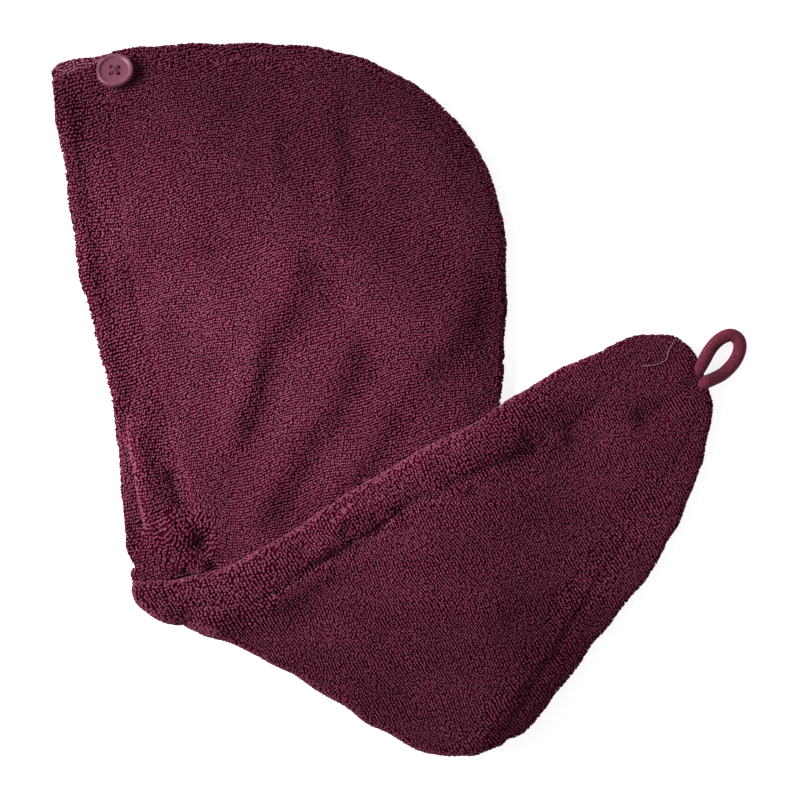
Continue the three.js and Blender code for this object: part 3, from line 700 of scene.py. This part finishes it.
def tube_mesh(name, path, radii, sides):
    """A closed round tube along a path, with its own map: along the tube, and round it."""
    path = np.array(path)
    radii = np.broadcast_to(radii, len(path))
    tangents = np.gradient(path, axis=0)
    tangents /= np.linalg.norm(tangents, axis=1)[:, None]
    side = np.cross(tangents[0], (0.0, 0.0, 1.0))
    if np.linalg.norm(side) < 0.1:
        side = np.cross(tangents[0], (1.0, 0.0, 0.0))
    side /= np.linalg.norm(side)
    angles = np.linspace(0.0, 2.0 * math.pi, sides, endpoint=False)
    verts = []
    for point, tangent, radius in zip(path, tangents, radii):
        side = side - tangent * side.dot(tangent)
        side /= np.linalg.norm(side)
        up = np.cross(tangent, side)
        ring = point + radius * (np.cos(angles)[:, None] * side + np.sin(angles)[:, None] * up)
        verts += [tuple(p) for p in ring]
    verts += [tuple(path[0]), tuple(path[-1])]
    faces = []
    uvs = []
    last = len(path) - 1
    for i in range(last):
        for j in range(sides):
            k = (j + 1) % sides
            faces.append((i * sides + j, i * sides + k, (i + 1) * sides + k, (i + 1) * sides + j))
            uvs += [(i / last, j / sides), (i / last, (j + 1) / sides),
                    ((i + 1) / last, (j + 1) / sides), ((i + 1) / last, j / sides)]
    for end, middle, flip in ((0, len(verts) - 2, True), (last, len(verts) - 1, False)):
        for j in range(sides):
            k = (j + 1) % sides
            corner = [end * sides + j, end * sides + k, middle]
            faces.append(tuple(reversed(corner)) if flip else tuple(corner))
            uvs += [(end / last, j / sides)] * 3
    mesh = bpy.data.meshes.new(name)
    mesh.from_pydata(verts, [], faces)
    layer = mesh.uv_layers.new(name="Cover")
    layer.data.foreach_set("uv", np.array(uvs).ravel())
    bm = bmesh.new()
    bm.from_mesh(mesh)
    bmesh.ops.recalc_face_normals(bm, faces=bm.faces)
    bm.to_mesh(mesh)
    bm.free()
    mesh.shade_smooth()
    return mesh


def make_hanging_loop():
    path = smooth_path(np.array(LOOP_ROUTE) * MM, 8)
    share = np.linspace(0.0, 1.0, len(path))
    to_end = np.minimum(share, 1.0 - share)
    radii = LOOP_DIAMETER / 2 * MM * (LOOP_END_WIDTH + LOOP_END_GROWTH * eased(to_end / LOOP_END_SHARE))
    loop = new_object("elastic_loop", tube_mesh("elastic_loop", path, radii, 24))
    loop.data.materials.append(elastic_material())
    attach(loop, "root")
    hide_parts("hanging_loop")


# ---- button


def edit_faces(piece, wanted):
    """Opens a piece for editing with the wanted faces selected."""
    pick(piece)
    bpy.ops.object.mode_set(mode="EDIT")
    bpy.ops.mesh.select_mode(type="FACE")
    bpy.ops.mesh.select_all(action="DESELECT")
    bpy.ops.object.mode_set(mode="OBJECT")
    for face in piece.data.polygons:
        face.select = wanted(face)
    bpy.ops.object.mode_set(mode="EDIT")


def make_button():
    thickness = BUTTON_THICKNESS * MM
    bpy.ops.mesh.primitive_cylinder_add(vertices=72, radius=BUTTON_RADIUS * MM, depth=thickness)
    button = bpy.context.object
    button.name = "four_hole_button"
    edit_faces(button, lambda face: face.normal.z > 0.9)
    bpy.ops.mesh.inset(thickness=BUTTON_RIM * MM, depth=0.0)
    bpy.ops.mesh.inset(thickness=BUTTON_SLOPE * MM, depth=-BUTTON_DISH * MM)
    bpy.ops.object.mode_set(mode="OBJECT")
    rounding = button.modifiers.new("rounding", "BEVEL")
    rounding.width = BUTTON_ROUNDING * MM
    rounding.segments = 4
    rounding.limit_method = "ANGLE"
    rounding.angle_limit = math.radians(ROUNDED_FROM)
    bpy.ops.object.modifier_apply(modifier="rounding")
    drills = []
    half = HOLE_SPACING / 2 * MM
    for x in (-half, half):
        for y in (-half, half):
            bpy.ops.mesh.primitive_cylinder_add(
                vertices=24, radius=HOLE_RADIUS * MM, depth=3 * thickness, location=(x, y, 0.0))
            drills.append(bpy.context.object)
    drill = joined(drills)
    pick(button)
    holes = button.modifiers.new("holes", "BOOLEAN")
    holes.operation = "DIFFERENCE"
    holes.object = drill
    bpy.ops.object.modifier_apply(modifier="holes")
    bpy.data.objects.remove(drill)
    bpy.ops.object.shade_smooth_by_angle(angle=math.radians(SMOOTH_UP_TO))
    button.data.transform(button_place())
    button.data.materials.append(button_material())
    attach(button, "root")
    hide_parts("button")


def button_place():
    middle = Vector(BUTTON_MIDDLE) * MM
    return Matrix.Translation(middle) @ Matrix.Rotation(math.radians(BUTTON_LEAN), 4, "X")


def joined_tubes(name, paths, radius, sides, material):
    """Several short tubes as one piece."""
    piece = joined([new_object(name, tube_mesh(name, path, radius, sides)) for path in paths])
    piece.data.materials.append(material)
    return piece


def make_button_thread(material):
    place = button_place()
    reach = HOLE_SPACING / 2 * math.sqrt(2.0)
    dish = BUTTON_THICKNESS / 2 - BUTTON_DISH
    paths = []
    for turn, lift in ((45.0, 0.0), (135.0, STRAND_CROSSING)):
        shoulder = dish + STRAND_LIFT + lift / 2
        line = [(-reach, STRAND_FOOT), (-reach, dish - STRAND_BEND), (-reach * STRAND_SHOULDER, shoulder),
                (0.0, dish + STRAND_TOP + lift),
                (reach * STRAND_SHOULDER, shoulder), (reach, dish - STRAND_BEND), (reach, STRAND_FOOT)]
        spin = Matrix.Rotation(math.radians(turn), 4, "Z")
        for offset in (-STRAND_SPACING, STRAND_SPACING):
            points = [place @ spin @ (Vector((along, offset, up)) * MM) for along, up in line]
            paths.append(smooth_path(points, 5))
    shank = [place @ (Vector((0.0, 0.0, -depth)) * MM) for depth in (BUTTON_THICKNESS / 2, *SHANK_DEPTHS)]
    strands = joined_tubes("button_thread_strands", paths, THREAD_RADIUS * MM, 8, material)
    core = new_object("button_thread", tube_mesh("button_thread", shank, SHANK_RADIUS * MM, 20))
    core.data.materials.append(material)
    joined([core, strands])
    core.name = "crossed_button_thread"
    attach(core, "root")
    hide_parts("button_thread")


# ---- terry panels and hems


def panel_from(node, name, levels):
    """The panel's own fine mesh: the coarse cloth of the frame, merged, squared and smoothed."""
    piece = new_object(name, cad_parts[node].data.copy())
    piece.data.materials.clear()
    pick(piece)
    bpy.ops.object.mode_set(mode="EDIT")
    bpy.ops.mesh.select_all(action="SELECT")
    bpy.ops.mesh.remove_doubles(threshold=0.00002)
    bpy.ops.mesh.tris_convert_to_quads(face_threshold=math.radians(60), shape_threshold=math.radians(70))
    bpy.ops.object.mode_set(mode="OBJECT")
    bpy.ops.mesh.customdata_custom_splitnormals_clear()
    finer = piece.modifiers.new("finer", "SUBSURF")
    finer.levels = levels
    finer.render_levels = levels
    bpy.ops.object.modifier_apply(modifier="finer")
    piece.data.shade_smooth()
    return piece


def tail_middle(x):
    """Height midway between the tail's two layers."""
    return TAIL_ON_HOOD + (TAIL_ON_FLOOR - TAIL_ON_HOOD) * eased((x - DESCENT_START) / DESCENT_WIDTH)


def is_tail(x, y):
    return y < roll_edge(x)


def shape_cloth(piece):
    """Lays folds and dents into the upper layers of hood and tail, and ripples into all the cloth."""
    mesh = piece.data
    points = np.empty(len(mesh.vertices) * 3)
    mesh.vertices.foreach_get("co", points)
    points = points.reshape(-1, 3) / MM
    x, y, z = points.T
    flat = points[:, :2]
    above_roll = eased((y - roll_edge(x) + ROLL_FADE[0]) / ROLL_FADE[1])
    hood_share = np.where(z < HOOD_CEILING, eased((z - HOOD_MIDDLE) / HOOD_FADE), 0.0) * above_roll
    in_tail = np.where(is_tail(x, y - TAIL_UNDER_ROLL), 1.0, 0.0)
    tail_share = eased((z - tail_middle(x) - TAIL_FADE[0]) / TAIL_FADE[1]) * in_tail
    z = z + hood_share * fold_height(HOOD_FOLDS, flat) + tail_share * fold_height(TAIL_FOLDS, flat)
    shifted = [x + ripple(RIPPLES_X, x, y), y + ripple(RIPPLES_Y, x, y), np.maximum(z, 0.0)]
    points = np.stack(shifted, axis=1)
    mesh.vertices.foreach_set("co", (points * MM).ravel())
    mesh.update()


def cover_faces(pieces):
    """All the cloth as one search tree, to find what lies open to the sky."""
    corners = []
    faces = []
    for piece in pieces:
        start = len(corners)
        corners += [tuple(v.co) for v in piece.data.vertices]
        faces += [tuple(start + i for i in p.vertices) for p in piece.data.polygons]
    return BVHTree.FromPolygons(corners, faces)


def level_at(tree, x, y):
    """Height of the highest cloth at a place, and its slope's normal."""
    spot, normal, _, _ = tree.ray_cast(Vector((x * MM, y * MM, SKY_HEIGHT)), -UP)
    return spot, normal


class Sky:
    """Heights of the cloth as seen from above, with the narrow seams between the panels closed."""

    def __init__(self, tree):
        self.xs = np.arange(-SKY_REACH[0], SKY_REACH[0], SKY_STEP)
        self.ys = np.arange(-SKY_REACH[1], SKY_REACH[1], SKY_STEP)
        level = np.full((len(self.xs), len(self.ys)), -np.inf)
        for i, x in enumerate(self.xs):
            for j, y in enumerate(self.ys):
                spot, _ = level_at(tree, x, y)
                if spot is not None:
                    level[i, j] = spot.z / MM
        near = range(-2, 3)
        reach = [(a, b) for a in near for b in near if a * a + b * b < 6]
        widened = np.max([np.roll(level, move, axis=(0, 1)) for move in reach], axis=0)
        self.closed = np.min([np.roll(widened, move, axis=(0, 1)) for move in reach], axis=0)

    def place(self, x, y):
        i = np.clip(((x - self.xs[0]) / SKY_STEP).astype(int), 1, len(self.xs) - 3)
        j = np.clip(((y - self.ys[0]) / SKY_STEP).astype(int), 1, len(self.ys) - 3)
        return i, j, (x - self.xs[i]) / SKY_STEP, (y - self.ys[j]) / SKY_STEP

    def level(self, x, y):
        i, j, u, v = self.place(x, y)
        c = self.closed
        with np.errstate(invalid="ignore"):
            return ((c[i, j] * (1 - u) + c[i + 1, j] * u) * (1 - v)
                    + (c[i, j + 1] * (1 - u) + c[i + 1, j + 1] * u) * v)

    def normal(self, x, y):
        reach = 1.5 * SKY_STEP
        with np.errstate(invalid="ignore"):
            fall_x = (self.level(x - reach, y) - self.level(x + reach, y)) / (2 * reach)
            fall_y = (self.level(x, y - reach) - self.level(x, y + reach)) / (2 * reach)
        normals = np.stack([fall_x, fall_y, np.ones_like(fall_x)], axis=1)
        return normals / np.linalg.norm(normals, axis=1)[:, None]


def worn_strip(x, y):
    """True on the smooth strip along the nape corner."""
    return (x < NAPE_STRIP_END) & (y > np.interp(x, *zip(*NAPE_STRIP)))


def under_button(x, y):
    return np.hypot(x - BUTTON_MIDDLE[0], y - BUTTON_MIDDLE[1]) < BUTTON_RADIUS - BUTTON_OVERHANG


def seen_from_above(spots):
    """X and Y of the spots, in millimetres."""
    return spots[:, :2].T / MM


def pile_level(x, y):
    """How open the pile lies at each place: 0 on the flat, 1 on soft bends, 2 on hard ones."""
    stitch_y, stitch_x = zip(*sorted((b, a) for a, b in HEM_STITCHES))
    inside_hem = np.interp(y, stitch_y, stitch_x) - x
    seam = np.interp(x, *zip(*FRONT_SEAM))
    tail = is_tail(x, y)
    level = np.zeros(len(x), int)
    level[~tail & (inside_hem > 0.0)] = 1
    level[~tail & (inside_hem > HEM_OUTER_PART) & (y > NAPE_START)] = 2
    level[~tail & (y > TOP_EDGE)] = 1
    level[tail & (y > seam) & (x < ROLL_END)] = 1
    level[tail & (y > seam - FOLD_MARGIN) & (x < FOLD_END)] = 2
    level[from_line(np.stack([x, y], axis=1), BACK_SEAM)[0] < BACK_SEAM_BAND] = 1
    level[np.hypot(x - CRUMPLE[0], y - CRUMPLE[1]) < CRUMPLE_BAND * CRUMPLE_RADIUS] = 2
    return level


def crumple_turn(x, y):
    """Angle by which the rows turn round the crumple."""
    away = ((x - CRUMPLE[0]) ** 2 + (y - CRUMPLE[1]) ** 2) / CRUMPLE_RADIUS ** 2
    return np.radians(CRUMPLE_TURN) * np.exp(-away) * ~is_tail(x, y)


def row_places(grain, scale):
    """Places along wavering rows, over the whole towel."""
    turn = math.radians(grain)
    along = np.array([math.cos(turn), math.sin(turn)])
    across = np.array([-math.sin(turn), math.cos(turn)])
    rows = np.arange(-ROWS_REACH, ROWS_REACH, ROW_PITCH * scale)
    steps = np.arange(-ROWS_REACH, ROWS_REACH, PILE_PITCH * scale)
    row, step = np.meshgrid(rows, steps, indexing="ij")
    step = step + (np.arange(len(rows)) % 2)[:, None] * PILE_PITCH * scale / 2
    sway = sum(width * np.sin(step / long + row / wide) for width, long, wide in ROW_SWAY)
    row = row + sway + dice.normal(0.0, ROW_SCATTER * scale, row.shape)
    step = step + dice.normal(0.0, PILE_SCATTER * scale, row.shape)
    flat = step.ravel()[:, None] * along + row.ravel()[:, None] * across
    x, y = flat.T
    turn = crumple_turn(x, y)
    away = flat - np.array(CRUMPLE)
    turned = np.stack([away[:, 0] * np.cos(turn) - away[:, 1] * np.sin(turn),
                       away[:, 0] * np.sin(turn) + away[:, 1] * np.cos(turn)], axis=1)
    return turned + np.array(CRUMPLE)


def seam_distance(points):
    """Distance from the nearer of the tail's two seams, seen from above."""
    return np.minimum(from_line(points, FRONT_SEAM)[0], from_line(points, BACK_JOIN)[0])


def loops_on_top(tree, sky, grain, wants_tail):
    """Rows of loops along the grain, set down on what lies open to the sky."""
    spots = []
    normals = []
    for level, scale in enumerate(PILE_LEVELS):
        flat = row_places(grain, scale)
        x, y = flat.T
        inside = (np.abs(x) < PILE_REACH[0]) & (np.abs(y) < PILE_REACH[1])
        inside &= (is_tail(x, y) == wants_tail) & ~under_button(x, y) & (pile_level(x, y) == level)
        flat = flat[inside]
        x, y = flat.T
        closed = sky.level(x, y)
        closed_normal = sky.normal(x, y)
        seam_near = seam_distance(flat) < BRIDGE_NEAR
        for k in range(len(flat)):
            spot, normal = level_at(tree, x[k], y[k])
            if spot is None:
                continue
            in_gap = seam_near[k] or closed[k] - spot.z / MM > BRIDGE_DEPTH
            if in_gap and closed_normal[k, 2] > BRIDGE_SLOPE:
                spots.append((x[k] * MM, y[k] * MM, closed[k] * MM))
                normals.append(tuple(closed_normal[k]))
            elif normal.z > LEVEL:
                spots.append(tuple(spot))
                normals.append(tuple(normal))
    return np.array(spots), np.array(normals)


def loops_on_sides(pieces, tree, sky):
    """Loops on the edges and rolls, scattered over the faces that lean too far for the rows."""
    spots = []
    normals = []
    for piece in pieces:
        for face in piece.data.polygons:
            normal = face.normal
            if not HANGING < normal.z < LEVEL:
                continue
            area_each = LEANING_AREA if normal.z > LEANING else SIDE_AREA
            count = int(face.area / (area_each * MM * MM) + dice.random())
            corners = [piece.data.vertices[i].co for i in face.vertices]
            for _ in range(count):
                u, v = dice.random(2)
                spot = corners[0].lerp(corners[1], u).lerp(corners[3 % len(corners)].lerp(corners[2], u), v)
                if tree.ray_cast(spot + normal * PILE_CLEARANCE, UP)[0] is None:
                    spots.append(tuple(spot))
                    normals.append(tuple(normal))
    spots = np.array(spots)
    normals = np.array(normals)
    with np.errstate(invalid="ignore"):
        depth = sky.level(*seen_from_above(spots)) - spots[:, 2] / MM
    seam_near = seam_distance(seen_from_above(spots).T) < GAP_NEAR
    buried = (depth > np.where(seam_near, GAP_BURIED, BURIED)) & (normals[:, 2] > FACING_UP)
    hidden = under_button(*seen_from_above(spots))
    return spots[~buried & ~hidden], normals[~buried & ~hidden]


def loop_template():
    """One loop of yarn: a bean with two rings of three corners. In loop lengths, widths and heights."""
    rings = []
    for x in (-0.31, 0.31):
        rings += [(x * 0.9, 0.0, 1.0), (x, 0.5, 0.38), (x, -0.5, 0.38)]
    corners = np.array([(-0.5, 0.0, -0.1), *rings, (0.5, 0.0, -0.1)])
    faces = []
    for j in range(3):
        k = (j + 1) % 3
        faces += [(0, 1 + k, 1 + j), (1 + j, 1 + k, 4 + k), (1 + j, 4 + k, 4 + j), (7, 4 + j, 4 + k)]
    length = [0.0, *[0.2] * 3, *[0.8] * 3, 1.0]
    height = [0.0, 1.0, 0.25, 0.25, 1.0, 0.25, 0.25, 0.0]
    order = [i for face in faces for i in face]
    shape = np.array([(length[i], height[i]) for i in order])
    bake_v = []
    for j in range(3):
        low = j / 3
        high = (j + 1) / 3
        bake_v += [(low + high) / 2, high, low, low, high, high, low, high, low, (low + high) / 2, low, high]
    bake = np.stack([shape[:, 0], np.array(bake_v)], axis=1)
    return corners, np.array(faces), shape, bake


def make_loops(name, spots, normals, grain, sizes):
    """One mesh of many loops, each turned along the grain and a little on its own."""
    corners, faces, shape, bake = loop_template()
    count = len(spots)
    normals = normals + dice.normal(0.0, LOOP_LEAN, normals.shape)
    normals /= np.linalg.norm(normals, axis=1)[:, None]
    angles = np.radians(grain) + dice.normal(0.0, LOOP_TURN, count) * sizes ** 2
    angles += crumple_turn(*seen_from_above(spots))
    heading = np.stack([np.cos(angles), np.sin(angles), np.zeros(count)], axis=1)
    heading -= normals * (heading * normals).sum(axis=1)[:, None]
    heading /= np.maximum(np.linalg.norm(heading, axis=1), 1e-6)[:, None]
    side = np.cross(normals, heading)
    length = LOOP_LENGTH * sizes * dice.uniform(*LENGTH_SPREAD, count)
    width = LOOP_WIDTH * sizes * dice.uniform(*WIDTH_SPREAD, count)
    height = LOOP_HEIGHT * sizes ** HEIGHT_GROWTH * dice.uniform(*HEIGHT_SPREAD, count)
    height[worn_strip(*seen_from_above(spots))] *= WORN_HEIGHT
    local = corners[None] * np.stack([length, width, height], axis=1)[:, None] * MM
    places = (spots[:, None] + local[..., :1] * heading[:, None] + local[..., 1:2] * side[:, None]
              + local[..., 2:] * normals[:, None])
    places[..., 2] = np.maximum(places[..., 2], FLOOR_GAP)
    mesh = bpy.data.meshes.new(name)
    all_faces = (faces[None] + (np.arange(count) * len(corners))[:, None, None]).reshape(-1, 3)
    mesh.vertices.add(count * len(corners))
    mesh.vertices.foreach_set("co", places.ravel())
    mesh.loops.add(all_faces.size)
    mesh.loops.foreach_set("vertex_index", all_faces.ravel().astype(np.int32))
    mesh.polygons.add(len(all_faces))
    mesh.polygons.foreach_set("loop_start", np.arange(0, all_faces.size, 3, dtype=np.int32))
    mesh.update(calc_edges=True)
    mesh.uv_layers.new(name="LoopShape").data.foreach_set("uv", np.tile(shape, (count, 1)).ravel())
    cells = int(math.ceil(math.sqrt(count)))
    corner_count = len(shape)
    column = np.repeat(np.arange(count) % cells, corner_count)
    row = np.repeat(np.arange(count) // cells, corner_count)
    own = np.tile(bake, (count, 1))
    corner = np.stack([column, row], axis=1) + CELL_MARGIN
    bake_map = (corner + CELL_INSIDE * own) / cells
    mesh.uv_layers.new(name="OFBake").data.foreach_set("uv", bake_map.ravel())
    mesh.shade_smooth()
    return new_object(name, mesh)


def loop_sizes(spots, steep):
    """Larger loops where the pile opens and on the worn strip."""
    x, y = seen_from_above(spots)
    sizes = np.array(PILE_LEVELS)[pile_level(x, y)] ** PILE_GROWTH
    if steep:
        sizes = np.minimum(sizes, LARGEST_ON_SIDES)
    sizes[worn_strip(x, y)] = WORN_SIZE
    return sizes


def press_down(spots, normals):
    """Sinks the loops into the ground cloth along the stitching and the seams."""
    flat = seen_from_above(spots).T
    sunk = np.zeros(len(flat))
    for depth, half_width, line in PRESSED_LINES:
        sunk = np.maximum(sunk, depth * np.exp(-(from_line(flat, line)[0] / half_width) ** 2))
    return spots - normals * (sunk * MM)[:, None]


def make_pile(cloth, tree, sky):
    flat_loops = terry_loop_material("terry_loops", FLAT_SHADED_COLOURS, FLAT_SHEEN)
    # A lighter copy of the loops for the edges, as a painted light rim
    rim_loops = terry_loop_material("terry_rim_loops", RIM_LIT_COLOURS, RIM_SHEEN)
    worn_loops = terry_loop_material("worn_terry_loops", WORN_SHADED_COLOURS, RIM_SHEEN)
    sets = []
    for place, grain, wants_tail in (("hood", HOOD_GRAIN, False), ("tail", TAIL_GRAIN, True)):
        spots, normals = loops_on_top(tree, sky, grain, wants_tail)
        worn = worn_strip(*seen_from_above(spots))
        sets.append((place, grain, spots[~worn], normals[~worn], flat_loops))
        if worn.any():
            sets.append(("worn_hood", grain, spots[worn], normals[worn], worn_loops))
    spots, normals = loops_on_sides(cloth, tree, sky)
    worn = worn_strip(*seen_from_above(spots))
    tail_side = is_tail(*seen_from_above(spots))
    leaning = normals[:, 2] > LEANING
    sets.append(("worn_edge_hood", HOOD_GRAIN, spots[worn], normals[worn], worn_loops))
    for place, grain, wanted in (("hood", HOOD_GRAIN, ~tail_side & ~worn), ("tail", TAIL_GRAIN, tail_side)):
        bend = wanted & leaning
        edge = wanted & ~leaning
        sets.append((place + "_bend", grain, spots[bend], normals[bend], flat_loops))
        # Edges get the rim copy, with its painted light rim
        sets.append((place + "_edge", grain, spots[edge], normals[edge], rim_loops))
    pile = []
    for place, grain, spots, normals, material in sets:
        sizes = loop_sizes(spots, material is rim_loops)
        spots = press_down(spots, normals)
        order = np.argsort(spots[:, 0] + spots[:, 1])
        parts = max(1, math.ceil(len(spots) / LOOPS_PER_PIECE))
        for number, part in enumerate(np.array_split(order, parts), start=1):
            name = f"{place}_terry_loops_{number}"
            piece = make_loops(name, spots[part], normals[part], grain, sizes[part])
            piece.data.materials.append(material)
            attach(piece, "root")
            pile.append(piece)
    return pile


def on_cloth(tree, x, y, lift):
    spot, _ = level_at(tree, x, y)
    return spot + UP * (lift * MM)


def make_stitches(tree, material):
    """The row of stitches that holds the turned hem, sunk between the loops."""
    line = smooth_path([(x, y, 0.0) for x, y in HEM_STITCHES], 40)
    along = np.concatenate([[0.0], np.cumsum(np.linalg.norm(np.diff(line, axis=0), axis=1))])
    paths = []
    for start in np.arange(STITCH_START, along[-1] - STITCH_MARGIN, STITCH_PITCH):
        ends = []
        for reach, lift in STITCH_PATH:
            x, y = [float(np.interp(start + reach, along, values)) for values in line[:, :2].T]
            ends.append(on_cloth(tree, x, y, lift))
        paths.append(ends)
    return joined_tubes("hem_stitches", paths, STITCH_RADIUS * MM, 6, material)


def make_loose_thread(tree, material):
    points = [on_cloth(tree, x, y, LOOSE_THREAD_LIFT) for x, y in LOOSE_THREAD]
    return joined_tubes("loose_thread", [smooth_path(points, 6)], THREAD_RADIUS * MM, 6, material)


def make_towel():
    ground = ground_material("terry_ground", GROUND_SHADE_TONES, GROUND_RELIEF)
    hem_ground = ground_material("hem_ground", HEM_SHADE_TONES, HEM_RELIEF)
    upper = panel_from("upper_panel", "upper_terry_panel", 2)
    under = panel_from("under_panel", "under_terry_panel", 2)
    upper_hem = panel_from("upper_hem", "upper_turned_hem", 1)
    under_hem = panel_from("under_hem", "under_turned_hem", 1)
    cloth = [upper, under, upper_hem, under_hem]
    for piece in cloth:
        shape_cloth(piece)
        piece.data.materials.append(hem_ground if "hem" in piece.name else ground)
    tree = cover_faces(cloth)
    sky = Sky(tree)
    pile = make_pile(cloth, tree, sky)
    stitches = make_stitches(tree, thread_material("plum_thread", PLUM_THREAD))
    loose = make_loose_thread(tree, thread_material("pale_thread", PALE_THREAD))
    for piece in (stitches, loose):
        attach(piece, "root")
    make_button_thread(thread_material("mauve_thread", MAUVE_THREAD))
    for panel, node, hem, hem_node, extras in (
        (upper, "upper_panel", upper_hem, "upper_hem", [p for p in pile if "hood" in p.name] + [stitches]),
        (under, "under_panel", under_hem, "under_hem", [p for p in pile if "tail" in p.name] + [loose]),
    ):
        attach(panel, "root")
        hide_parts(node)
        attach(hem, "root")
        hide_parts(hem_node)


make_camera()
make_hanging_loop()
make_studio()
make_towel()
make_button()
